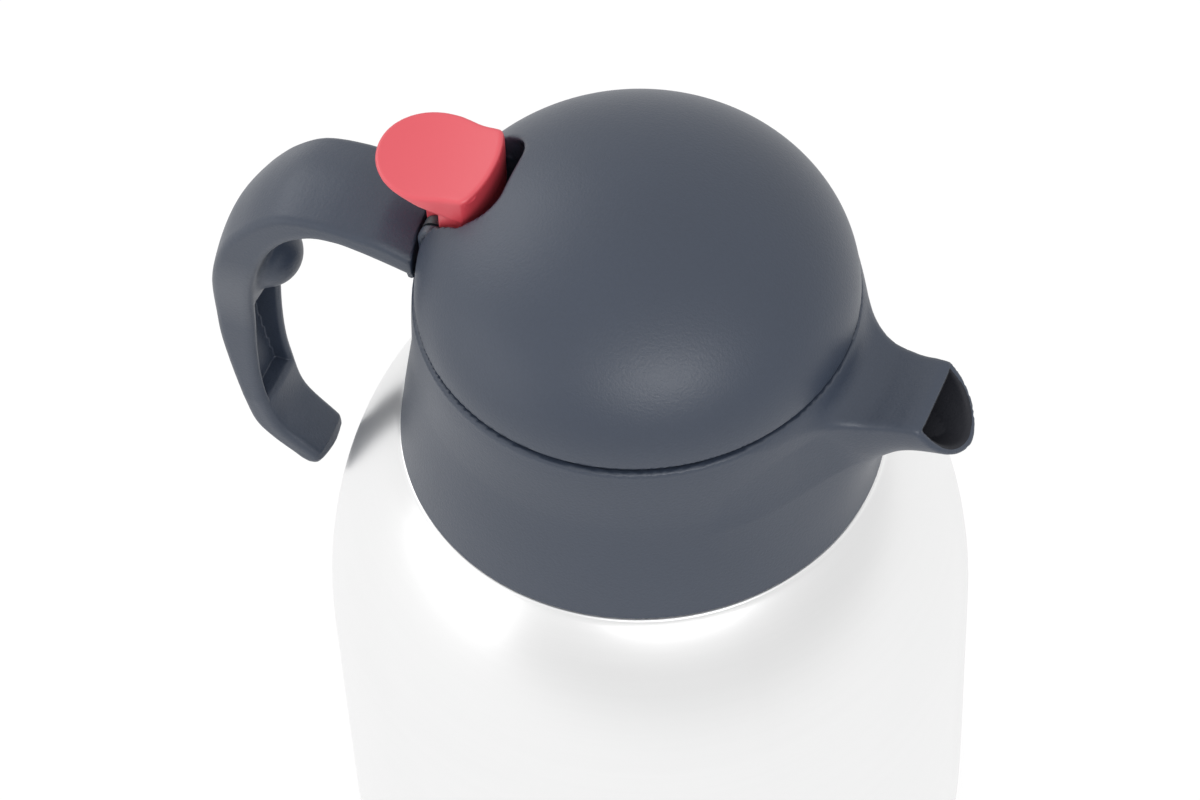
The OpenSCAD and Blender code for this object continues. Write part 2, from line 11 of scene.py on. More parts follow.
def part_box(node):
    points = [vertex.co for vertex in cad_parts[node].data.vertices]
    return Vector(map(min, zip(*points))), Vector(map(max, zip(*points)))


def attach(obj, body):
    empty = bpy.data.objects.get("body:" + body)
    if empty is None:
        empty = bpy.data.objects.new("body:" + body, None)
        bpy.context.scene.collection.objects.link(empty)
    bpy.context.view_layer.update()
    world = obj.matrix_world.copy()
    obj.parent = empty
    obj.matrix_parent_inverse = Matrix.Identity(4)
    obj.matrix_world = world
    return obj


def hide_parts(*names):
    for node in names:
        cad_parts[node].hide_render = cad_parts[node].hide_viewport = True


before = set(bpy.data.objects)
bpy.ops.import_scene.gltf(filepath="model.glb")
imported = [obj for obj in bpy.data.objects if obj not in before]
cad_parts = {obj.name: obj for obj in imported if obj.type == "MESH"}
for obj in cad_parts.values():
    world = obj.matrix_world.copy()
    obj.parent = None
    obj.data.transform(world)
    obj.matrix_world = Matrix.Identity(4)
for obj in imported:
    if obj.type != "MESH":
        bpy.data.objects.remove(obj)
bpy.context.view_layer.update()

MM = 0.001
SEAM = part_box("collar")[1][2] / MM          # height of the lid seam, mm
PIN_X, PIN_Z = -43.0, 7.0                   # hinge pin, from the axis and from the seam
PIN_HOLE_R = 1.55
KNUCKLE_R = 3.4                             # round ends of the ears and of the lever's hub
RIM_R = 47.6                                # collar's radius at the rim
COLLAR_H = 45.3
DECK = 16.0                                 # the collar's deck, down from the seam
THROAT_R = 24.5
ARM_HALF = 12.5                             # half the handle's width at the collar
BODY_R = 72.12
ACROSS_POWER, DOWN_POWER = 1.7, 2.6         # shape of the rounded U that the spout's section follows


# Shader helpers

class Value:
    """A shader socket that takes part in plain arithmetic."""

    def __init__(self, tree, socket):
        self.tree = tree
        self.socket = socket

    def node(self, kind, settings=None, outlet=0, **inputs):
        """Any node, with its settings, then its sockets by name, or by number as i0, i1 and so on."""
        made = self.tree.nodes.new(kind)
        for name, value in (settings or {}).items():
            setattr(made, name, value)
        for name, value in inputs.items():
            key = int(name[1:]) if name[0] == "i" and name[1:].isdigit() else name.replace("_", " ")
            target = made.inputs[key]
            if isinstance(value, Value):
                self.tree.links.new(value.socket, target)
            else:
                target.default_value = value
        return Value(self.tree, made.outputs[outlet])

    def math(self, operation, a, b=0.0):
        return self.node("ShaderNodeMath", {"operation": operation}, i0=a, i1=b)

    def __add__(self, other):
        return self.math("ADD", self, other)

    def __radd__(self, other):
        return self.math("ADD", other, self)

    def __sub__(self, other):
        return self.math("SUBTRACT", self, other)

    def __rsub__(self, other):
        return self.math("SUBTRACT", other, self)

    def __mul__(self, other):
        return self.math("MULTIPLY", self, other)

    def __rmul__(self, other):
        return self.math("MULTIPLY", other, self)

    def power(self, other):
        return self.math("POWER", self, other)

    def larger(self, other):
        return self.math("MAXIMUM", self, other)

    def dot(self, direction):
        product = {"operation": "DOT_PRODUCT"}
        return self.node("ShaderNodeVectorMath", product, outlet=1, i0=self, i1=direction)

    def ramp(self, start, end, top=1.0):
        """Nought up to start, then straight up to the top value at end."""
        return self.node("ShaderNodeMapRange", i0=self, i1=start, i2=end, i3=0.0, i4=top)


def new_material(name):
    """A material, its tree, its shader and the place on the piece in object coordinates."""
    made = bpy.data.materials.new(name)
    made.use_nodes = True
    tree = made.node_tree
    shader = tree.nodes["Principled BSDF"]
    where = tree.nodes.new("ShaderNodeTexCoord")
    return made, tree, shader, Value(tree, where.outputs["Object"])


def feed(tree, shader, **inputs):
    """Set or link the shader's inputs, with spaces in their names written as underscores."""
    for name, value in inputs.items():
        target = shader.inputs[name.replace("_", " ")]
        if isinstance(value, Value):
            tree.links.new(value.socket, target)
        else:
            target.default_value = value


def noise(at, scale, detail=2.0, roughness=0.5):
    return at.node("ShaderNodeTexNoise", Vector=at, Scale=scale, Detail=detail, Roughness=roughness)


def blend_colour(amount, low, high):
    return amount.node("ShaderNodeMix", {"data_type": "RGBA"}, outlet=2, i0=amount, i6=low, i7=high)


def bump(height, strength, distance):
    """Distance is in metres."""
    return height.node("ShaderNodeBump", Height=height, Strength=strength, Distance=distance)


# Bounds of the painted shade inside the spout's channel
MASK_ROOF_SLOPE, MASK_ROOF_DROP = 0.165, 16.65      # straight lines along the spout, below the seam
MASK_FLOOR_SLOPE, MASK_FLOOR_DROP = 0.229, 32.56
MASK_HALF = 8.55
MASK_START = 50.0


def painted_mouth_shade_mask(at):
    """One inside the spout's channel, nought elsewhere: the place where shade is painted into the mouth."""
    split = at.node("ShaderNodeSeparateXYZ", Vector=at).socket.node.outputs
    x, y, z = (Value(at.tree, split[i]) * (1 / MM) for i in range(3))
    top = x * MASK_ROOF_SLOPE + (SEAM - MASK_ROOF_DROP)
    floor = x * MASK_FLOOR_SLOPE + (SEAM - MASK_FLOOR_DROP)
    down = x.math("DIVIDE", top - z, top - floor)
    across = x.math("ABSOLUTE", y) * (1 / MASK_HALF)
    shape = across.power(ACROSS_POWER) + down.larger(0.0).power(DOWN_POWER)
    inside = x.math("LESS_THAN", shape, 1.0) * x.math("GREATER_THAN", down, 0.0)
    return inside * x.math("GREATER_THAN", x, MASK_START)


# Near black: painted shade inside the spout's mouth
MOUTH_SHADE_COLOUR = (0.003, 0.004, 0.010, 1.0)
MOTTLE_SCALE = 28.0
ROUGH_SPAN = 0.08                           # how far the grain moves the roughness


def grained_plastic(name, colour, roughness, grain=1700.0, depth=0.00014, strength=0.6, worn=0.13,
                    shade_mask=None):
    """Moulded plastic with a spark-eroded grain and a faint mottle, with near-black painted shade where the
    shade mask is one.
    """
    made, tree, shader, at = new_material(name)
    fine = noise(at, grain, 3.0, 0.6)
    broad = noise(at, MOTTLE_SCALE)
    dark = [c * (1 - worn) for c in colour] + [1.0]
    light = [c * (1 + worn) for c in colour] + [1.0]
    speck = noise(at, grain * 0.7, 1.0)
    skin = blend_colour(broad * 0.5 + speck * 0.5, dark, light)
    rough = (roughness - ROUGH_SPAN / 2) + fine * ROUGH_SPAN
    if shade_mask:
        # Painted shade: the colour goes near black and rougher inside the spout's channel
        inside = shade_mask(at)
        skin = blend_colour(inside, skin, MOUTH_SHADE_COLOUR)
        rough = rough + inside * 0.3
    feed(tree, shader, Base_Color=skin, Roughness=rough, Normal=bump(fine, strength, depth),
         Specular_IOR_Level=0.6)
    return made


RED_DEEP, RED_PALE = (0.71, 0.060, 0.085, 1.0), (0.75, 0.072, 0.098, 1.0)


def satin_red(name):
    """Smooth moulded plastic with a satin skin."""
    made, tree, shader, at = new_material(name)
    fine = noise(at, 1500.0)
    feed(tree, shader, Base_Color=blend_colour(noise(at, 40.0), RED_DEEP, RED_PALE),
         Roughness=0.42 + fine * 0.06, Normal=bump(fine, 0.12, 0.00004), Specular_IOR_Level=1.0)
    return made


STREAKS_UP = 2600.0                         # streaks to a metre of height, the same on every brushed piece
STREAKS_ROUND, STREAKS_FLAT = 2.0, 30.0


def brushed(name, colour, roughness, streak=0.06, around=True, metallic=1.0):
    """Brushed steel: fine streaks that follow the circumference, or lie level on a small part."""
    made, tree, shader, at = new_material(name)
    split = at.node("ShaderNodeSeparateXYZ", Vector=at)
    z = Value(tree, split.socket.node.outputs[2])
    level, pull = at, STREAKS_FLAT
    if around:
        ring = at.node("ShaderNodeVectorMath", {"operation": "MULTIPLY"}, i0=at, i1=(1.0, 1.0, 0.0))
        level, pull = ring.node("ShaderNodeVectorMath", {"operation": "NORMALIZE"}, i0=ring), STREAKS_ROUND
    stretched = level.node("ShaderNodeVectorMath", {"operation": "MULTIPLY"}, i0=level, i1=(pull, pull, 0.0))
    rise = z.node("ShaderNodeCombineXYZ", X=0.0, Y=0.0, Z=z * STREAKS_UP)
    line = stretched.node("ShaderNodeVectorMath", {"operation": "ADD"}, i0=stretched, i1=rise)
    streaks = noise(line, 1.0, 4.0, 0.65)
    broad = noise(line, 0.12)
    low = [c * 0.975 for c in colour] + [1.0]
    high = [c * 1.02 for c in colour] + [1.0]
    feed(tree, shader, Base_Color=blend_colour(streaks * 0.6 + broad * 0.4, low, high), Metallic=metallic,
         Roughness=(roughness - streak / 2) + streaks * streak, Normal=bump(streaks, 0.04, 0.00002))
    return made


def soft_rubber(name, colour, roughness=0.55):
    """Matt rubber, silicone or foam with a faint unevenness."""
    made, tree, shader, at = new_material(name)
    fine = noise(at, 900.0)
    low = [c * 0.94 for c in colour] + [1.0]
    high = [c * 1.05 for c in colour] + [1.0]
    feed(tree, shader, Base_Color=blend_colour(fine, low, high), Roughness=(roughness - 0.05) + fine * 0.1,
         Normal=bump(fine, 0.1, 0.00004))
    return made


SILVER_DULL, SILVER_BRIGHT = (0.80, 0.82, 0.83, 1.0), (0.90, 0.91, 0.92, 1.0)


def silvered_glass(name):
    """Glass with a silvered back: a near mirror with a faint cloud."""
    made, tree, shader, at = new_material(name)
    broad = noise(at, 22.0)
    feed(tree, shader, Base_Color=blend_colour(broad, SILVER_DULL, SILVER_BRIGHT), Metallic=0.92,
         Roughness=0.05 + broad * 0.05)
    return made


ANTHRACITE = (0.034, 0.046, 0.072)
plastic = grained_plastic("anthracite_plastic", ANTHRACITE, 0.42)
# The collar's plastic carries painted shade inside the spout's mouth
collar_plastic_painted_shade = grained_plastic("collar_plastic_painted_shade", ANTHRACITE, 0.42, shade_mask=painted_mouth_shade_mask)
plastic_dark = grained_plastic("inner_plastic", (0.022, 0.026, 0.034), 0.5, strength=0.2)
red = satin_red("coral_red_plastic")
steel = brushed("brushed_steel", (0.87, 0.87, 0.87), 0.30, metallic=0.8)
steel_bright = brushed("plated_steel", (0.70, 0.70, 0.71), 0.25, around=False)
rubber_black = soft_rubber("black_rubber", (0.022, 0.022, 0.024))
silicone = soft_rubber("pale_silicone", (0.62, 0.63, 0.62), 0.45)
foam = soft_rubber("pale_foam", (0.72, 0.70, 0.62), 0.8)
glass = silvered_glass("silvered_glass")

NODE_LOOKS = {
    "outer_jacket": steel, "base_cup": plastic_dark, "base_pad": rubber_black,
    "flask_outer_glass": glass, "flask_inner_glass": glass, "glass_spacers": foam,
    "flask_cushion": rubber_black, "neck_seal": silicone, "clamp_ring": plastic_dark,
    "collar": collar_plastic_painted_shade, "handle": plastic, "handle_screws": steel_bright, "hinge_pin": steel_bright,
    "lever_spring": steel_bright, "thumb_lever": red, "lid_dome": plastic, "lid_liner": plastic_dark,
    "lid_screws": steel_bright, "stopper_cone": plastic_dark, "stopper_foam": foam,
    "stopper_gasket": silicone}
for node_name, look in NODE_LOOKS.items():
    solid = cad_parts[node_name]
    solid.data.materials.clear()
    solid.data.materials.append(look)


# Mesh helpers

TINY = 1e-6


def finish_piece(obj, body, look, stands_for):
    """Dress a piece, put it on its body and let it stand for its solids."""
    obj.data.materials.clear()
    obj.data.materials.append(look)
    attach(obj, body)
    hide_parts(*stands_for)


def object_from(name, points, faces):
    """A mesh object from points in mm, with heights counted from the seam."""
    place = (np.asarray(points, dtype=float) + [0, 0, SEAM]) * MM
    mesh = bpy.data.meshes.new(name)
    mesh.from_pydata([tuple(p) for p in place], [], [tuple(int(i) for i in f) for f in faces])
    mesh.update()
    mesh.shade_smooth()
    obj = bpy.data.objects.new(name, mesh)
    bpy.context.scene.collection.objects.link(obj)
    return obj


def turn_outward(obj, sharp):
    """Point the faces outward, and keep edges past this many degrees crisp."""
    work = bmesh.new()
    work.from_mesh(obj.data)
    bmesh.ops.recalc_face_normals(work, faces=work.faces)
    for edge in work.edges:
        if len(edge.link_faces) == 2 and edge.calc_face_angle() > math.radians(sharp):
            edge.smooth = False
    work.to_mesh(obj.data)
    work.free()


def circle_points(count):
    return [(math.cos(2 * math.pi * k / count), math.sin(2 * math.pi * k / count)) for k in range(count)]


def lathe(name, profile, segments=256, sharp=32):
    """Turn a closed outline of radius and height round the axis."""
    circle = circle_points(segments)
    points = []
    index = []
    for r, z in profile:
        if r < TINY:
            index.append([len(points)] * segments)
            points.append((0, 0, z))
        else:
            index.append(list(range(len(points), len(points) + segments)))
            points += [(r * c, r * s, z) for c, s in circle]
    faces = []
    count = len(profile)
    for i in range(count):
        low, high = index[i], index[(i + 1) % count]
        if low[0] == low[1] and high[0] == high[1]:
            continue
        for k in range(segments):
            n = (k + 1) % segments
            loop = []
            for v in (low[k], low[n], high[n], high[k]):
                if v not in loop:
                    loop.append(v)
            if len(loop) > 2:
                faces.append(loop)
    obj = object_from(name, points, faces)
    turn_outward(obj, sharp)
    return obj


def curve_through(points, steps=10):
    """A smooth line through chosen points (Catmull-Rom)."""
    p = [np.array(q, dtype=float) for q in points]
    line = []
    for i in range(len(p) - 1):
        a, b, c, d = p[max(i - 1, 0)], p[i], p[i + 1], p[min(i + 2, len(p) - 1)]
        for k in range(steps):
            t = k / steps
            line.append(0.5 * (2 * b + (c - a) * t + (2 * a - 5 * b + 4 * c - d) * t ** 2
                               + (3 * b - a - 3 * c + d) * t ** 3))
    return np.array(line + [p[-1]])


LONGEST_CUT = 0.45                          # share of a side that a corner may take


def rounded(profile, radius, steps=4):
    """The same closed outline with its corners rounded, apart from those on the axis."""
    p = [np.array(q, dtype=float) for q in profile]
    out = []
    for i, here in enumerate(p):
        before, after = p[i - 1], p[(i + 1) % len(p)]
        if here[0] < TINY:
            out.append(tuple(here))
            continue
        a, b = before - here, after - here
        r = min(radius, np.linalg.norm(a) * LONGEST_CUT, np.linalg.norm(b) * LONGEST_CUT)
        a = here + a / np.linalg.norm(a) * r
        b = here + b / np.linalg.norm(b) * r
        for k in range(steps + 1):
            t = k / steps
            out.append(tuple((1 - t) ** 2 * a + 2 * t * (1 - t) * here + t ** 2 * b))
    return out


# Solids given by a field that is negative inside, in mm from the seam

FAR = 1e9


def ramp(value, start, end):
    """Nought up to start, one from end on, straight between."""
    return np.clip((value - start) / (end - start), 0, 1)


def ease(value, start, end):
    """The same with a smooth start and end."""
    t = ramp(value, start, end)
    return t * t * (3 - 2 * t)


def soft_max(a, b, k):
    """The overlap of two solids, with an edge rounded over about k."""
    h = np.maximum(k - np.abs(a - b), 0) / k
    return np.maximum(a, b) + h * h * k / 4


def soft_min(a, b, k):
    """Two solids joined, with a fillet of about k."""
    return -soft_max(-a, -b, k)


def round_corner(a, b, radius):
    """The overlap of two walls that meet in a round corner."""
    a, b = a + radius, b + radius
    return np.minimum(np.maximum(a, b), 0) + np.hypot(np.maximum(a, 0), np.maximum(b, 0)) - radius


def box_field(x, y, z, low, high):
    return np.maximum(np.maximum(np.maximum(low[0] - x, x - high[0]), np.maximum(low[1] - y, y - high[1])),
                      np.maximum(low[2] - z, z - high[2]))


def line_distance(u, v, line):
    """Distance to a line of points in a plane."""
    near = np.full(u.shape, FAR)
    for (ax, ay), (bx, by) in zip(line[:-1], line[1:]):
        ex, ey = bx - ax, by - ay
        length = ex * ex + ey * ey
        if length < TINY ** 2:
            continue
        t = np.clip(((u - ax) * ex + (v - ay) * ey) / length, 0, 1)
        near = np.minimum(near, (u - ax - t * ex) ** 2 + (v - ay - t * ey) ** 2)
    return np.sqrt(near)


def outline_field(u, v, outline):
    """Signed distance to a closed outline in a plane."""
    closed = list(outline) + [outline[0]]
    inside = np.zeros(u.shape, dtype=bool)
    for (ax, ay), (bx, by) in zip(closed[:-1], closed[1:]):
        if ay != by:
            inside ^= ((ay > v) != (by > v)) & (u < (bx - ax) * (v - ay) / (by - ay) + ax)
    near = line_distance(u, v, closed)
    return np.where(inside, -near, near)


def slope(field, p, h=0.04):
    """How the field rises at each point, from its values a step h to each side."""
    g = np.empty_like(p)
    for a in range(3):
        d = np.zeros(3)
        d[a] = h
        q, r = p + d, p - d
        g[:, a] = (field(q[:, 0], q[:, 1], q[:, 2]) - field(r[:, 0], r[:, 1], r[:, 2])) / (2 * h)
    return g


CORNERS = [(i, j, k) for i in (0, 1) for j in (0, 1) for k in (0, 1)]
EDGES = [(a, b) for a in CORNERS for b in CORNERS if a < b and sum(abs(s - t) for s, t in zip(a, b)) == 1]
LEAST_SLOPE = 0.05                          # of a field's squared slope, so that no point is thrown far
LONGEST_MOVE = 0.6                          # of a cell, for one correction
RELAX_ROUNDS, RELAX_SHARE = 3, 0.6
LEAST_MATCH = 0.6                           # dot product below which a normal is taken from the mesh


def cast(name, field, low, high, step, fine_from=None, fine_step=None):
    """Mesh the surface where the field is zero, one point to a cell, laid exactly on it.

    Along X the cells can be finer from one place on.
    """
    axes = [np.arange(lo - 2 * step, hi + 3 * step, step) for lo, hi in zip(low, high)]
    if fine_from is not None:
        coarse = axes[0][axes[0] < fine_from]
        axes[0] = np.concatenate([coarse, np.arange(coarse[-1] + fine_step, high[0] + 3 * step, fine_step)])
    grid = np.meshgrid(*axes, indexing="ij")
    values = field(*grid)
    inside = values < 0
    n = [len(a) - 1 for a in axes]

    def part(array, corner):
        i, j, k = corner
        return array[i:n[0] + i, j:n[1] + j, k:n[2] + k]

    count = sum(part(inside, c).astype(int) for c in CORNERS)
    cells = np.argwhere((count > 0) & (count < 8))
    index = -np.ones(n, dtype=int)
    index[tuple(cells.T)] = np.arange(len(cells))
    total = np.zeros((len(cells), 3))
    hits = np.zeros(len(cells))
    for a, b in EDGES:
        va = values[tuple((cells + a).T)]
        vb = values[tuple((cells + b).T)]
        cross = (va < 0) != (vb < 0)
        t = np.where(cross, va / np.where(cross, va - vb, 1), 0)[:, None]
        at = np.array(a) + t * (np.array(b) - np.array(a))
        total += np.where(cross[:, None], at, 0)
        hits += cross
    place = cells + total / hits[:, None]
    points = np.stack([np.interp(place[:, a], np.arange(len(axes[a])), axes[a]) for a in range(3)], axis=1)

    faces = []
    for axis in range(3):
        u, v = (axis + 1) % 3, (axis + 2) % 3
        lead = [slice(None)] * 3
        lead[axis] = slice(1, None)
        trail = [slice(None)] * 3
        trail[axis] = slice(0, -1)
        change = inside[tuple(lead)] != inside[tuple(trail)]
        edge = np.argwhere(change)
        edge = edge[(edge[:, u] > 0) & (edge[:, v] > 0) & (edge[:, u] < n[u]) & (edge[:, v] < n[v])]
        outward = inside[tuple(edge.T)]
        ring = []
        for du, dv in ((1, 1), (0, 1), (0, 0), (1, 0)):
            cell = edge.copy()
            cell[:, u] -= du
            cell[:, v] -= dv
            ring.append(index[tuple(cell.T)])
        quad = np.stack(ring, axis=1)
        quad[~outward] = quad[~outward][:, ::-1]
        faces.append(quad)
    faces = np.concatenate(faces)

    def settle(p):
        for _ in range(2):
            g = slope(field, p)
            f = field(p[:, 0], p[:, 1], p[:, 2])
            move = (f / np.maximum((g * g).sum(1), LEAST_SLOPE))[:, None] * g
            size = np.linalg.norm(move, axis=1, keepdims=True)
            p = p - move * np.minimum(1, LONGEST_MOVE * step / np.maximum(size, TINY))
        return p

    points = settle(points)
    for _ in range(RELAX_ROUNDS):
        middle = points[faces].mean(axis=1)
        gather = np.zeros_like(points)
        weight = np.zeros(len(points))
        for c in range(4):
            np.add.at(gather, faces[:, c], middle)
            np.add.at(weight, faces[:, c], 1)
        centred = gather / np.maximum(weight, 1)[:, None]
        points = settle((1 - RELAX_SHARE) * points + RELAX_SHARE * centred)
    obj = object_from(name, points, faces)
    normals = slope(field, points)
    normals /= np.maximum(np.linalg.norm(normals, axis=1, keepdims=True), TINY)
    plain = np.array([tuple(v.normal) for v in obj.data.vertices])
    odd = (normals * plain).sum(axis=1) < LEAST_MATCH
    normals[odd] = plain[odd]
    obj.data.normals_split_custom_set_from_vertices([tuple(v) for v in normals])
    return obj


# Domed lid with the lever's notch

LID_R = 47.0
DOME_H = 33.2                               # from the seam
DOME_WALL = 2.2
SEAM_GAP = 0.8
NOTCH_X = 27.5                              # front edge of the notch, behind the axis
NOTCH_HALF = 12.25
NOTCH_REAR = 9.6                            # half its width beside the pin
NOTCH_TAPER = (-41.5, -35.2)
NOTCH_CORNER = 7.0
NOTCH_BOTTOM = 16.0
WELL_REACH = ((0, 4.7, 8, 10, 11, 12.2), (24.6, 24.5, 23.8, 22.5, 21.2, 18.0))
WELL_WALL = 1.6
WELL_FLOOR = 2.1
WELL_REAR = -5.0
WELL_INSET = 1.0                            # its walls end this far under the dome's outside


def dome_field(x, y, z):
    """Bowl with a walled well for the lever, whose front follows the lever's swing round the pin."""
    r = np.hypot(x, y)
    up = z - SEAM_GAP

    def bowl(wall):
        span = np.sqrt((r / (LID_R - wall)) ** 2 + (np.maximum(up, 0) / (DOME_H - wall)) ** 2)
        return (span - 1) * (DOME_H - wall)

    outside = soft_max(bowl(0), SEAM_GAP - z, 1.0)
    shell = soft_max(outside, -np.where(up > 0, bowl(DOME_WALL), r - LID_R + DOME_WALL), 0.3)
    turn = np.hypot(x - PIN_X, z - PIN_Z)
    behind = np.maximum(x - PIN_X, WELL_REAR - z)
    off = np.abs(y)
    front = np.interp(off, *WELL_REACH)
    side = off - np.interp(x, NOTCH_TAPER, (NOTCH_REAR, NOTCH_HALF))
    well = np.maximum(np.minimum(turn - front, behind), side)
    box = np.maximum(np.minimum(turn - front - WELL_WALL, behind - WELL_WALL), side - WELL_WALL)
    walls = np.maximum(np.maximum(box, WELL_FLOOR - z), bowl(WELL_INSET))
    opening = np.maximum(round_corner(x + NOTCH_X, side, NOTCH_CORNER), NOTCH_BOTTOM - z)
    solid = soft_max(np.minimum(shell, walls), -well, 0.5)
    return soft_max(solid, -opening, 1.0)


dome = cast("lid_dome_shell", dome_field, (-47.5, -47.5, 0), (47.5, 47.5, 35), step=0.85)
finish_piece(dome, "lid", plastic, ["lid_dome"])


# Collar with its covered spout

MOUTH_X, MOUTH_Z = 66.3, -4.3               # upper edge of the mouth
LIP_AHEAD, LIP_DOWN = 9.5, 12.7             # lower lip, ahead of the upper edge and below it
MOUTH_DEPTH = math.hypot(LIP_AHEAD, LIP_DOWN)
BEAK_START = 30                             # inside the ring, which the beak grows out of
SPOUT_START, SPOUT_FULL = 35, 41            # where the spout's upper face leaves the rim
CHANNEL_START = 37
CHANNEL_WALL = 1.9
CHANNEL_KEEL = -19.6                        # lowest keel that the channel follows
SKIRT_WALL = 2.3
HOLLOW_R = 45.3                             # bore from the step up
HOLLOW_STEP = -17.5
ARM_ROOM = 0.2                              # clearance round the handle's root

# Height and radius of the side, then along the spout its half width, keel and ridge
COLLAR_SIDE = curve_through([(0.6, 47.62), (0, RIM_R), (-1.2, 47.68), (-5.3, 48.0), (-14.7, 48.5),
                             (-21, 49.2), (-34, 51.3), (-COLLAR_H, 52.9), (-50, 53.5)])[::-1]
SPOUT_EDGE = curve_through([(34, 30), (38, 26.5), (41, 23.1), (42.8, 20.85), (44.7, 18.5), (48.6, 14.7),
                            (53, 12.1), (59.4, 10.55), (63, 10.25), (MOUTH_X, 10.15), (78, 10.0)])
SPOUT_KEEL = curve_through([(40, -52), (46, -46), (49, -41), (51.5, -36), (54, -30.4), (59.6, -23.4),
                            (64, -20.0), (70, -17.9), (75.8, -16.9), (80, -16.3)])
SPOUT_RIDGE = curve_through([(30, -6.6), (38, -6.6), (46, -6.6), (53, -6.5), (59.4, -5.75), (63, -4.95),
                             (MOUTH_X, MOUTH_Z), (72, -3.2), (80, -1.6)])

# Distance out from the rim, and how far the upper face lies above the ridge there
RIM_RISE = curve_through([(-1.2, 7.5), (-0.5, 6.6), (0, 5.6), (0.9, 3.6), (2, 2.1), (3.2, 1.2), (5, 0.5),
                          (8, 0), (12, 0), (20, 0), (40, 0)])


def ridge(x):
    """Height of the spout's upper face along its middle."""
    return np.interp(x, SPOUT_RIDGE[:, 0], SPOUT_RIDGE[:, 1])


def spout_top(x, y):
    """The spout's upper face: a saddle that curves up to the collar's rim."""
    out = np.hypot(x, y) - RIM_R
    sheet = ridge(x) + np.interp(out, RIM_RISE[:, 0], RIM_RISE[:, 1])
    return np.minimum(sheet, 0) * ease(x, SPOUT_START, SPOUT_FULL)


def u_field(x, y, z, wall):
    """Rounded U across the spout: its outside, or with a wall the channel in it."""
    half = np.interp(x, SPOUT_EDGE[:, 0], SPOUT_EDGE[:, 1]) - wall
    top = ridge(x) if wall else spout_top(x, y)
    keel = np.interp(x, SPOUT_KEEL[:, 0], SPOUT_KEEL[:, 1])
    if wall:
        keel = np.maximum(keel, CHANNEL_KEEL) + wall * 1.05
    depth = np.clip((top - z) / (top - keel), 0, 2.5)
    round_off = (np.abs(y) / half) ** ACROSS_POWER + depth ** DOWN_POWER
    return (round_off ** 0.5 - 1) * half * 0.8


def mouth_plane(x, z):
    """Distance out from the slanted plane that ends the spout."""
    return ((x - MOUTH_X) * LIP_DOWN + (z - MOUTH_Z) * LIP_AHEAD) / MOUTH_DEPTH


# Radius and height of the deck, the throat and the stopper's seat
RING_PARTS = [(43.4, -48.5), (45.8, -48.5), (45.8, -20), (46.2, -19), (49, -19), (49, -DECK), (29.5, -DECK),
              (THROAT_R, -26), (THROAT_R, -29.35), (32.4, -29.35), (32.4, -27.35), (32.2, -19), (43.4, -19)]


def collar_field(x, y, z):
    """Flared ring with the spout blended on, hollow below, with a gap for the handle's root."""
    r = np.hypot(x, y)
    wall_r = np.interp(z, COLLAR_SIDE[:, 0], COLLAR_SIDE[:, 1])
    beak = u_field(np.maximum(x, BEAK_START), y, z, 0)
    beak = np.where(x < BEAK_START, 50.0, beak)
    beak = soft_max(beak, mouth_plane(x, z), 1.4)
    body = soft_min(r - wall_r, beak, 2.0 + 6.0 * ramp(-z, 8, 22))
    body = soft_max(body, z - spout_top(x, y), 0.7 + ramp(x, SPOUT_START, SPOUT_FULL))
    body = soft_max(body, -COLLAR_H - z, 0.5)
    hollow = np.where(z > HOLLOW_STEP, r - HOLLOW_R, r - wall_r + SKIRT_WALL)
    body = soft_max(body, -hollow, 0.9)
    inner = np.maximum(outline_field(r, z, RING_PARTS), r - wall_r + 1.0)
    body = soft_min(body, inner, 0.8)
    channel = u_field(np.maximum(x, CHANNEL_START - 1), y, z, CHANNEL_WALL)
    channel = np.maximum(np.maximum(channel, CHANNEL_START - x), z - ridge(x) + CHANNEL_WALL)
    channel = np.maximum(channel, -DECK - 0.2 - z)
    body = soft_max(body, -channel, 1.2)
    gap_half = ARM_HALF + ARM_ROOM
    gap = box_field(x, y, z, (-60, -gap_half, -3.6), (-40, gap_half, 20))
    return soft_max(body, -gap, 0.4)


collar = cast("collar_with_spout", collar_field, (-54, -54, -49), (77, 54, 1), step=0.93,
              fine_from=40, fine_step=0.6)
finish_piece(collar, "carafe", collar_plastic_painted_shade, ["collar"])


# Hook handle

GRIP_HALF = 8.2
TONGUE_THINNER = 1.4
BALL_X, BALL_Z, BALL_R = -88.4, -27.0, 8.0  # stop for the fingers under the bend
TROUGH_TOP, TROUGH_END = -37.5, -75.0       # the grip is open on its inside between these heights
TROUGH_SIDE, TROUGH_FLOOR = 2.6, 3.2        # walls of the grip there
EAR_NEAR, EAR_FAR = 6.3, 8.9                # faces of the hinge ears, from the middle plane
EAR_FRONT, EAR_BACK = -39.6, -46.2
ROOT_BOTTOM, ROOT_BLOCK_TOP = -12.0, -5.0
ARM_END_R = 47.9                            # the arm's end lies along the collar
HEAD_R = 45.1                               # the root keeps inside this, under the collar's wall
PASSAGE = ((-60, -ARM_HALF, -3.3), (-40, ARM_HALF, 20))     # corners of the way out through the collar
FOOT = ((-48.2, -11.8, -3.4), (-46.4, 11.8, -0.3))          # and of the strip that fills its gap

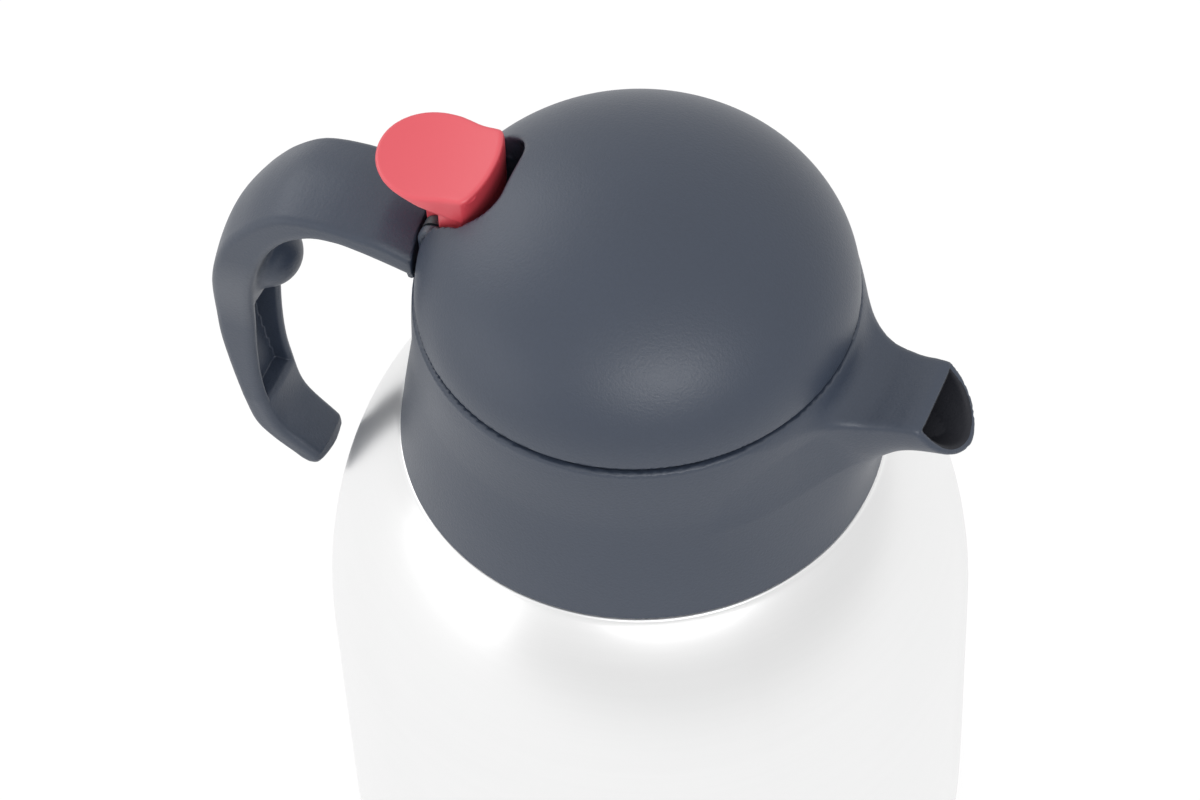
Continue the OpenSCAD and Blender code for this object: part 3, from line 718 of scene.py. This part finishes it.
ARM_TOP = curve_through([(-44, 5), (-53, 7.6), (-58.5, 8.1), (-68.5, 8), (-77.8, 5.9), (-85, 0.6),
                         (-90.6, -6), (-94.6, -13), (-97.9, -24), (-100.1, -37.5), (-100.5, -50.5),
                         (-99.2, -62), (-97, -74.5), (-95, -84.4), (-90.5, -90.4), (-83.8, -95.6)], 6)
ARM_UNDER = curve_through([(-44, -3.7), (-52.9, -1.6), (-59.6, -0.4), (-64.8, -0.1), (-70.6, -1.4),
                           (-77, -6), (-82.4, -14), (-86, -25), (-88.6, -38), (-90, -52), (-90.2, -66),
                           (-88.9, -76), (-86.4, -83.5), (-80, -89.4)], 6)
TONGUE_END = [(-81.2, -96.4), (-78.6, -95.4), (-77.5, -93.2), (-78.1, -90.8)]
SIDE_OUTLINE = [tuple(p) for p in ARM_TOP] + TONGUE_END + [tuple(p) for p in ARM_UNDER[::-1]]


def handle_half(z):
    """Half the width, which shrinks round the bend and again towards the tongue."""
    slim = ARM_HALF + (GRIP_HALF - ARM_HALF) * ease(-z, 16, 48)
    return slim - TONGUE_THINNER * ramp(-z, 74, 92)


def handle_field(x, y, z):
    """Side outline with crowned faces, the ball, the open grip, and the root with its hinge ears."""
    flat = outline_field(x, z, SIDE_OUTLINE)
    top = line_distance(x, z, ARM_TOP)
    under = line_distance(x, z, ARM_UNDER)
    half = handle_half(z)
    rise = np.clip((y / half) ** 2, 0, 1.5)
    crown = ramp(z, -30, -5) * 1.1 + 2.0
    spread = under + top + TINY
    body = flat + crown * rise * under / spread + 0.5 * rise * top / spread
    body = soft_max(body, np.abs(y) - half, 1.8)
    body = soft_max(body, ARM_END_R - np.hypot(x, y), 0.5)
    ball = np.sqrt((x - BALL_X) ** 2 + y ** 2 + (z - BALL_Z) ** 2) - BALL_R
    body = soft_min(body, ball, 2.5)
    trough = np.maximum(np.abs(y) - (half - TROUGH_SIDE), TROUGH_FLOOR - top)
    trough = np.maximum(trough, np.maximum(z - TROUGH_TOP, TROUGH_END - z))
    body = soft_max(body, -trough, 1.4)
    knuckle = np.hypot(x - PIN_X, z - PIN_Z)
    web = box_field(x, 0 * y, z, (EAR_BACK, -1, ROOT_BOTTOM), (EAR_FRONT, 1, PIN_Z - 1))
    ear = np.minimum(knuckle - KNUCKLE_R, web)
    ear = soft_max(ear, np.maximum(EAR_NEAR - np.abs(y), np.abs(y) - EAR_FAR), 0.5)
    block = box_field(x, y, z, (-48, -EAR_FAR, ROOT_BOTTOM), (EAR_FRONT, EAR_FAR, ROOT_BLOCK_TOP))
    foot = box_field(x, y, z, *FOOT)
    inside = np.minimum(np.hypot(x, y) - HEAD_R, box_field(x, y, z, *PASSAGE))
    head = np.maximum(soft_min(ear, block, 0.8), inside)
    body = soft_min(np.minimum(body, foot), head, 0.6)
    return np.maximum(body, PIN_HOLE_R - knuckle)


handle = cast("hook_handle", handle_field, (-101, -13, -97), (-39, 13, 11), step=0.65)
finish_piece(handle, "carafe", plastic, ["handle"])


# Thumb lever

PADDLE_X, PADDLE_R = -45.4, 12.0            # the paddle's round rear
FRONT_X, FRONT_LENGTH = -39.0, 8.4          # middle and half length of its straighter front
FRONT_HALF, FRONT_TAPER, FRONT_CORNER = 11.0, 0.055, 4.0
PADDLE_TOP, DISH_X, DISH_LENGTH = 25.4, -48.5, 116.0
PADDLE_CROWN = 0.3
WEDGE_BACK, WEDGE_BOTTOM = -41.0, 13.2
POST_TOP, HUB_HALF, TOE_HALF = 24.2, 3.5, 3.3
NOSE_X, NOSE_R = -56.3, 25.0                # the front's wide round end, from its centre far back
SPRING_SLOT = ((-49, -2.1, 3), (-37, 2.1, 12))

# Distance behind the axis and height of the paddle's underside, then the outline of the toe
PADDLE_UNDER = curve_through([(30.5, 18.4), (38, 19.8), (43, 22.0), (48.6, 23.9), (58.4, 24.4)])
LEVER_TOE = [(-44, 3.6), (-39.6, 7), (-36, -0.3), (-28.4, -0.3), (-28.4, -2.5), (-37, -3.6), (-40.6, -1.0)]


def lever_field(x, y, z):
    """Dished paddle with a wedge under its front, on a post with the hub and the toe that lifts the lid."""
    disc = np.hypot(x - PADDLE_X, y) - PADDLE_R
    front_half = FRONT_HALF - FRONT_TAPER * (x + 40)
    front = round_corner(np.abs(x - FRONT_X) - FRONT_LENGTH, np.abs(y) - front_half, FRONT_CORNER)
    plan = soft_min(disc, front, 1.5)
    plan = soft_max(plan, np.hypot(x - NOSE_X, y) - NOSE_R, 1.2)
    low = np.interp(-x, PADDLE_UNDER[:, 0], PADDLE_UNDER[:, 1])
    high = PADDLE_TOP + (x - DISH_X) ** 2 / DISH_LENGTH
    high = high - PADDLE_CROWN * (1 - ramp(np.abs(y), 0, PADDLE_R) ** 2)
    paddle = soft_max(plan, np.maximum(low - z, z - high), np.interp(x, (-56, -40), (0.8, 1.3)))
    slim = np.abs(y) - np.interp(x, (-41.5, -33), (8.8, 11.0))
    wedge = soft_max(np.maximum(plan, slim), np.maximum(WEDGE_BACK - x, WEDGE_BOTTOM - z), 0.6)
    wedge = np.maximum(wedge, z - high + 1.6)
    ahead = x - PIN_X
    tilt = ramp(z, PIN_Z, PIN_Z + 6)
    neck = 2.4 * ramp(z, 12, 18)
    post = np.maximum(ahead - (KNUCKLE_R + 1.6 * tilt), -ahead - (KNUCKLE_R + 0.2 * tilt - neck))
    post = np.maximum(np.maximum(post, np.abs(y) - HUB_HALF), np.maximum(PIN_Z - z, z - POST_TOP))
    knuckle = np.hypot(ahead, z - PIN_Z)
    hub = np.maximum(knuckle - KNUCKLE_R, np.abs(y) - HUB_HALF)
    toe = np.maximum(outline_field(x, z, LEVER_TOE), np.abs(y) - TOE_HALF)
    stem = soft_min(np.minimum(hub, post), toe, 0.6)
    solid = np.minimum(soft_min(paddle, wedge, 0.3), stem)
    solid = np.maximum(solid, -box_field(x, y, z, *SPRING_SLOT))
    return np.maximum(solid, PIN_HOLE_R - knuckle)


lever = cast("thumb_lever_paddle", lever_field, (-58, -12.5, -4), (-28, 12.5, 27), step=0.45)
finish_piece(lever, "lever", red, ["thumb_lever"])


# Steel jacket and the foot

SHOULDER_X, SHOULDER_RISE = 35.0, 71.6      # the shoulder's arc: its centre and its half height
SHOULDER_END_R = 53.35
LEDGE_TOP = 45.35                           # down from the seam
LEDGE_EDGE = 0.75                           # height of the ledge's rounded edge
JACKET_WALL = 0.8


def jacket_profile():
    """Rolled foot, straight wall, shoulder arc and flat ledge, with the inside a wall away."""
    foot = curve_through([(BODY_R - 3.6, 2.9), (BODY_R - 1.6, 4.6), (BODY_R - 0.6, 8.5), (BODY_R - 0.1, 18),
                          (BODY_R, 36)], 8)
    reach = BODY_R - SHOULDER_X
    end = math.acos((SHOULDER_END_R - SHOULDER_X) / reach)
    low = SEAM - LEDGE_TOP - LEDGE_EDGE - SHOULDER_RISE * math.sin(end)
    arc = [(SHOULDER_X + reach * math.cos(a), low + SHOULDER_RISE * math.sin(a))
           for a in np.linspace(0, end, 60)]
    edge = [(r, z + SEAM) for r, z in ((53.25, -45.9), (53.15, -45.6), (52.95, -45.43), (52.7, -LEDGE_TOP))]
    outside = [tuple(p) for p in foot] + arc + edge
    inside = [(r - JACKET_WALL, z - (0.5 if z > low + 20 else 0)) for r, z in outside[:-3]]
    under = SEAM - LEDGE_TOP - JACKET_WALL
    mouth = [(46.4, SEAM - LEDGE_TOP), (46.4, under), (51.8, under)]
    return [(r, z - SEAM) for r, z in outside + mouth + inside[::-1]]


jacket = lathe("steel_jacket", jacket_profile(), 320, 50)
finish_piece(jacket, "carafe", steel, ["outer_jacket"])

CUP_OUTLINE = [(0, 2.05), (60.3, 2.05), (60.3, 0.8), (68.15, 0.8), (69.35, 1.8), (69.35, 2.6), (67.45, 2.6),
               (67.45, 10), (65.45, 10), (65.45, 4), (0, 4)]
cup = lathe("base_cup_moulding", rounded([(r, z - SEAM) for r, z in CUP_OUTLINE], 0.4))
finish_piece(cup, "carafe", plastic_dark, ["base_cup"])


def foot_profile():
    """Flat rubber disc with shallow rings in its underside."""
    ring = [(0, 0.3), (10, 0.3), (10.4, 0)]
    for r in range(16, 56, 8):
        ring += [(r, 0), (r + 0.5, 0.45), (r + 2.5, 0.45), (r + 3, 0)]
    ring += [(59.4, 0), (60, 0.6), (60, 2), (0, 2)]
    return [(r, z - SEAM) for r, z in ring]


pad = lathe("rubber_foot", foot_profile(), 192)
finish_piece(pad, "carafe", rubber_black, ["base_pad"])


# Stopper's plug and sealing ring

PLUG_OUTLINE = [(0, -24), (23.2, -24), (27.2, -16), (27.2, -0.05), (25.2, -0.05), (25.2, -15.5), (22.2, -22),
                (0, -22)]
cone = lathe("stopper_plug", rounded(PLUG_OUTLINE, 0.7), 224)
finish_piece(cone, "lid", plastic_dark, ["stopper_cone"])

GASKET_OUTLINE = [(23.74, -23), (25.75, -22.8), (26.3, -21.6), (26.0, -21.3), (27.0, -20.2), (26.8, -19.8),
                  (27.8, -18.4), (26.24, -18)]
gasket = lathe("stopper_sealing_ring", rounded(GASKET_OUTLINE, 0.25), 224)
finish_piece(gasket, "lid", silicone, ["stopper_gasket"])


# Torsion spring

SPRING_WIRE_R, SPRING_COIL_R, SPRING_TURNS = 0.35, 2.75, 2.5
SPRING_HALF = 1.4                           # half the length of the coil, between the wire's middles
SPRING_LEG_DOWN, SPRING_LEG_UP = 9.4, 4.6


def spring_tube(sides=10, per_turn=32):
    """One wire with a straight leg at each end."""
    count = int(SPRING_TURNS * per_turn)
    sideways = np.array([0, 1, 0])
    rings = []
    for k in range(count + 1):
        a = math.pi - 2 * math.pi * k / per_turn
        out = np.array([math.cos(a), 0, math.sin(a)])
        y = SPRING_HALF - 2 * SPRING_HALF * k / count
        centre = np.array([PIN_X, y, PIN_Z]) + SPRING_COIL_R * out
        rings.append([centre + SPRING_WIRE_R * (c * out + s * sideways) for c, s in circle_points(sides)])
    rings.insert(0, [p - np.array([0, 0, SPRING_LEG_DOWN]) for p in rings[0]])
    rings.append([p + np.array([0, 0, SPRING_LEG_UP]) for p in rings[-1]])
    points = [p for ring in rings for p in ring]
    starts = range(0, len(points) - sides, sides)
    faces = [(i + j, i + (j + 1) % sides, i + sides + (j + 1) % sides, i + sides + j)
             for i in starts for j in range(sides)]
    faces += [tuple(range(sides)), tuple(range(len(points) - 1, len(points) - sides - 1, -1))]
    obj = object_from("lever_spring_wire", points, faces)
    turn_outward(obj, 180)
    return obj


finish_piece(spring_tube(), "carafe", steel_bright, ["lever_spring"])


# Screws, one tree of Geometry Nodes for both sets

SCREW_SIZES = {"Head Radius": 3.0, "Head Height": 1.68, "Shank Radius": 1.6, "Shank Length": 8.0,
               "Recess Width": 3.4, "Recess Slot": 0.8, "Recess Depth": 1.0}


def screw_tree():
    """Pan-head screws with a cross recess, one on each point, with the shank along the turned Z axis."""
    tree = bpy.data.node_groups.new("cross_head_screws", "GeometryNodeTree")
    face = tree.interface
    face.new_socket("Geometry", in_out="INPUT", socket_type="NodeSocketGeometry")
    for name in SCREW_SIZES:
        face.new_socket(name, in_out="INPUT", socket_type="NodeSocketFloat")
    face.new_socket("Lay", in_out="INPUT", socket_type="NodeSocketVector")
    face.new_socket("Finish", in_out="INPUT", socket_type="NodeSocketMaterial")
    face.new_socket("Geometry", in_out="OUTPUT", socket_type="NodeSocketGeometry")
    given = tree.nodes.new("NodeGroupInput")

    def size(name):
        return Value(tree, given.outputs[name])

    def vector(x, y, z):
        return size("Lay").node("ShaderNodeCombineXYZ", X=x, Y=y, Z=z)

    def shifted(shape, height):
        return shape.node("GeometryNodeTransform", Geometry=shape, Translation=vector(0.0, 0.0, height))

    def rod(radius, length, middle):
        made = size("Lay").node("GeometryNodeMeshCylinder", Vertices=32, Radius=radius, Depth=length)
        return shifted(made, middle)

    def slot(along, across):
        extent = vector(along, across, size("Recess Depth") * 2.0)
        return shifted(extent.node("GeometryNodeMeshCube", Size=extent), size("Head Height") * -1.0)

    head = rod(size("Head Radius"), size("Head Height"), size("Head Height") * -0.5)
    shank = rod(size("Shank Radius"), size("Shank Length"), size("Shank Length") * 0.5)
    cross = size("Lay").node("GeometryNodeMeshBoolean", {"operation": "UNION"})
    for along, across in (("Recess Width", "Recess Slot"), ("Recess Slot", "Recess Width")):
        tree.links.new(slot(size(along), size(across)).socket, cross.socket.node.inputs["Mesh 2"])
    cut = head.node("GeometryNodeMeshBoolean", {"operation": "DIFFERENCE"}, Mesh_1=head, Mesh_2=cross)
    screw = cut.node("GeometryNodeJoinGeometry")
    for shape in (cut, shank):
        tree.links.new(shape.socket, screw.socket.node.inputs["Geometry"])
    placed = screw.node("GeometryNodeInstanceOnPoints", Points=Value(tree, given.outputs["Geometry"]),
                        Instance=screw, Rotation=size("Lay"))
    real = placed.node("GeometryNodeRealizeInstances", Geometry=placed)
    done = real.node("GeometryNodeSetMaterial", Geometry=real, Material=Value(tree, given.outputs["Finish"]))
    tree.links.new(done.socket, tree.nodes.new("NodeGroupOutput").inputs["Geometry"])
    return tree


SCREWS = screw_tree()


def screw_set(name, places, lay, **changes):
    """Screws at places in mm, with sizes in mm that differ; lay turns the shank away from the Z axis."""
    base = object_from(name + "_places", places, [])
    maker = base.modifiers.new("screws", "NODES")
    maker.node_group = SCREWS
    wanted = {key: value * MM for key, value in SCREW_SIZES.items()}
    wanted.update({key.replace("_", " "): value * MM for key, value in changes.items()})
    wanted.update({"Lay": lay, "Finish": steel_bright})
    for item in SCREWS.interface.items_tree:
        if item.in_out == "INPUT" and item.name in wanted:
            maker[item.identifier] = wanted[item.name]
    seen = bpy.context.evaluated_depsgraph_get()
    seen.update()
    mesh = bpy.data.meshes.new_from_object(base.evaluated_get(seen), depsgraph=seen)
    bpy.data.objects.remove(base)
    obj = bpy.data.objects.new(name, mesh)
    bpy.context.scene.collection.objects.link(obj)
    return obj


LID_SCREW_R, LID_SCREW_Z = 35.5, -0.02
LID_SCREW_TURNS = (0, 104, 256)             # degrees, clear of the notch

turns = [math.radians(a) for a in LID_SCREW_TURNS]
lid_places = [(LID_SCREW_R * math.cos(a), LID_SCREW_R * math.sin(a), LID_SCREW_Z) for a in turns]
lid_set = screw_set("lid_cross_screws", lid_places, (0, 0, 0))
finish_piece(lid_set, "lid", steel_bright, ["lid_screws"])

ARM_SCREW_X, ARM_SCREW_Z, ARM_SCREW_APART = -39.58, -8.5, 5

arm_places = [(ARM_SCREW_X, y, ARM_SCREW_Z) for y in (-ARM_SCREW_APART, ARM_SCREW_APART)]
arm_set = screw_set("handle_cross_screws", arm_places, (0, -math.pi / 2, 0),
                    Head_Radius=2.9, Head_Height=1.8, Shank_Length=7.12)
finish_piece(arm_set, "carafe", steel_bright, ["handle_screws"])


# Camera, floor and light

CAMERA_AT = Vector((0.26103, -0.58169, 1.03302))
LOOK = Vector((-0.2492, 0.5345, -0.8076)).normalized()
RIGHT = Vector((0.9239, 0.3811, -0.0328)).normalized()       # the picture's right, with a slight roll
UP = RIGHT.cross(LOOK).normalized()
camera_data = bpy.data.cameras.new("camera")
camera_data.lens = 150
camera_data.sensor_width = 36
camera_data.clip_start = 0.05
camera = bpy.data.objects.new("camera", camera_data)
turn = Matrix((RIGHT, UP, -LOOK)).transposed()
camera.matrix_world = Matrix.Translation(CAMERA_AT) @ turn.to_4x4()
bpy.context.scene.collection.objects.link(camera)
bpy.context.scene.camera = camera


FLOOR_FRONT = (0.78, -0.62, 0.0)            # the way in which the floor's reflection darkens
WORLD_FRONT = (0.74, -0.67, 0.0)            # the way in which the room is gloomy near the horizon
FLOOR_GLOW = 1.04
FLOOR_SHARE = 0.86                          # of that white which the camera sees, so that a shadow stays


def white_where_seen(tree, shader_out, surface_in):
    """White to the camera and in reflections, darker there far out at the front, lit for all other rays."""
    path = tree.nodes.new("ShaderNodeLightPath").outputs
    by_camera, mirrored, through = (Value(tree, path[name]) for name in
                                    ("Is Camera Ray", "Is Glossy Ray", "Is Transmission Ray"))
    at = Value(tree, tree.nodes.new("ShaderNodeTexCoord").outputs["Object"])
    far = at.dot(FLOOR_FRONT).ramp(0.25, 0.8, 0.2)
    glow = tree.nodes.new("ShaderNodeEmission")
    glow.inputs["Color"].default_value = (1, 1, 1, 1)
    tree.links.new((FLOOR_GLOW * (1.0 - mirrored * far)).socket, glow.inputs["Strength"])
    seen = (by_camera * FLOOR_SHARE).larger(mirrored.larger(through))
    mix = tree.nodes.new("ShaderNodeMixShader")
    tree.links.new(seen.socket, mix.inputs[0])
    tree.links.new(shader_out, mix.inputs[1])
    tree.links.new(glow.outputs[0], mix.inputs[2])
    tree.links.new(mix.outputs[0], surface_in)


def make_floor(half=3.0):
    mesh = bpy.data.meshes.new("floor")
    corners = [(-half, -half, 0), (half, -half, 0), (half, half, 0), (-half, half, 0)]
    mesh.from_pydata(corners, [], [(0, 1, 2, 3)])
    floor = bpy.data.objects.new("floor", mesh)
    bpy.context.scene.collection.objects.link(floor)
    made = bpy.data.materials.new("floor_white")
    made.use_nodes = True
    tree = made.node_tree
    shader = tree.nodes["Principled BSDF"]
    shader.inputs["Base Color"].default_value = (0.93, 0.93, 0.93, 1)
    shader.inputs["Roughness"].default_value = 0.9
    white_where_seen(tree, shader.outputs[0], tree.nodes["Material Output"].inputs["Surface"])
    mesh.materials.append(made)


def make_world():
    """White to the camera; for other rays brighter from above, and gloomy low down at the front."""
    world = bpy.data.worlds.new("studio")
    bpy.context.scene.world = world
    world.use_nodes = True
    tree = world.node_tree
    back = tree.nodes["Background"]
    back.inputs["Color"].default_value = (1, 1, 1, 1)
    path = tree.nodes.new("ShaderNodeLightPath").outputs
    by_camera, glossy, through = (Value(tree, path[name]) for name in
                                  ("Is Camera Ray", "Is Glossy Ray", "Is Transmission Ray"))
    at = Value(tree, tree.nodes.new("ShaderNodeTexCoord").outputs["Generated"])
    lift = at.dot((0.0, 0.0, 1.0)).ramp(0.0, 0.5)
    gloom = at.dot(WORLD_FRONT).ramp(0.0, 0.8) * (1.0 - lift)
    mirrored = (0.88 + lift * 0.06) * (1.0 - gloom * 0.15)
    lit = (0.38 + lift * 0.44) * (1.0 - gloom * 0.9)
    scattered = glossy * mirrored + (1.0 - glossy) * lit
    seen = by_camera.larger(through)
    strength = seen + (1.0 - seen) * scattered
    tree.links.new(strength.socket, back.inputs["Strength"])


def area_light(name, place, aim, size, power):
    """A rectangular lamp in metres and watts that faces the aim."""
    data = bpy.data.lights.new(name, "AREA")
    data.shape = "RECTANGLE"
    data.size, data.size_y = size
    data.energy = power
    lamp = bpy.data.objects.new(name, data)
    lamp.location = place
    lamp.rotation_euler = (Vector(aim) - Vector(place)).to_track_quat("-Z", "Y").to_euler()
    bpy.context.scene.collection.objects.link(lamp)


make_floor()
make_world()
area_light("key", (0.62, -0.86, 0.98), (0.01, -0.02, 0.2), (0.9, 0.4), 6)
area_light("fill", (-1.1, 0.3, 0.9), (0, 0, 0.15), (0.9, 0.9), 4)
area_light("left", (-1.2, -1.0, 0.45), (-0.05, 0, 0.17), (1.4, 0.9), 3)
bpy.context.scene.view_settings.view_transform = "Standard"
